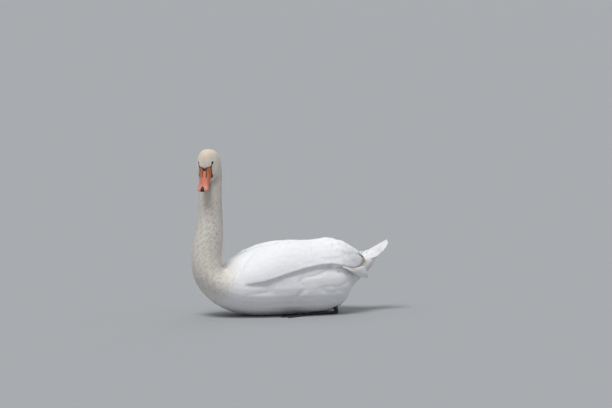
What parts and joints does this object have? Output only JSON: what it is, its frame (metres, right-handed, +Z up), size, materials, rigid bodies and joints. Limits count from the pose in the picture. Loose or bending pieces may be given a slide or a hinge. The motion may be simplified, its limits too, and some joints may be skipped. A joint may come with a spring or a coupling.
{
  "type": "mute swan",
  "caption": "Life-size model of a mute swan at rest on its belly, with folded wings, webbed feet and a tall neck; the head is turned to its left.",
  "frame": {"origin": "middle of the bounding box, at the height of the surface that the belly and legs rest on", "axes": "+Z up, -X the way the breast faces, -Y the bird's left"},
  "size_m": [0.766, 0.3158, 0.6109],
  "materials": {
    "white_plumage": "matte white feathers",
    "neck_plumage": "matte off-white feathers",
    "bill_horn": "satin coral orange",
    "black_skin": "matte black",
    "eye": "glossy dark brown",
    "webbed_skin": "matte blackish grey"
  },
  "bodies": {
    "root": {"trunk": "white_plumage", "neck_lower": "neck_plumage", "neck_upper": "neck_plumage", "head": "neck_plumage", "wing_left": "white_plumage", "wing_right": "white_plumage", "primaries_left": "white_plumage", "primaries_right": "white_plumage", "tail": "white_plumage", "bill_upper": "bill_horn", "bill_lower": "bill_horn", "bill_knob": "black_skin", "eye_left": "eye", "eye_right": "eye", "foot_left": "webbed_skin", "foot_right": "webbed_skin"}
  },
  "joints": []
}
